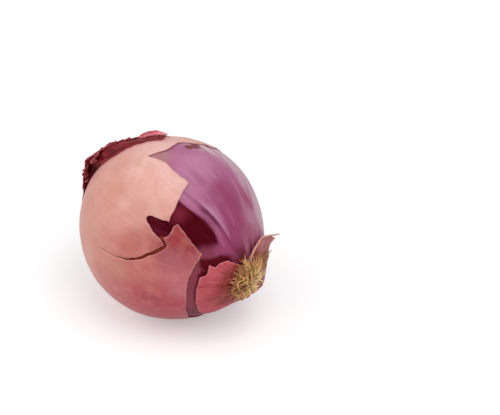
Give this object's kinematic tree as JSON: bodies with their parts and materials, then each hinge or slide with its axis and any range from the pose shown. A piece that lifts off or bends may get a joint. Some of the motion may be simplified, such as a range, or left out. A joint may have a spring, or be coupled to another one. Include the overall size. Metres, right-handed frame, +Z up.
{
  "type": "red onion",
  "caption": "Red onion lying on its side, with torn papery outer skin, glossy purple bulb, dry neck and a tuft of rootlets.",
  "frame": {"origin": "centre of the small flat spot that the onion rests on, on the surface below it", "axes": "+Z up, away from that surface; +X level, towards the root end; the neck points to -X and a little up"},
  "size_m": [0.0974, 0.0756, 0.0749],
  "materials": {
    "bulb": "gloss",
    "outer_skin": "satin",
    "root_skin": "satin",
    "root_plate": "matte",
    "roots": "matte",
    "neck": "matte",
    "neck_collar": "satin",
    "skin_roll": "satin"
  },
  "bodies": {
    "root": {"bulb": "bulb", "outer_skin": "outer_skin", "root_skin": "root_skin", "root_plate": "root_plate", "roots": "roots", "neck": "neck", "neck_collar": "neck_collar", "skin_roll": "skin_roll"}
  },
  "joints": []
}
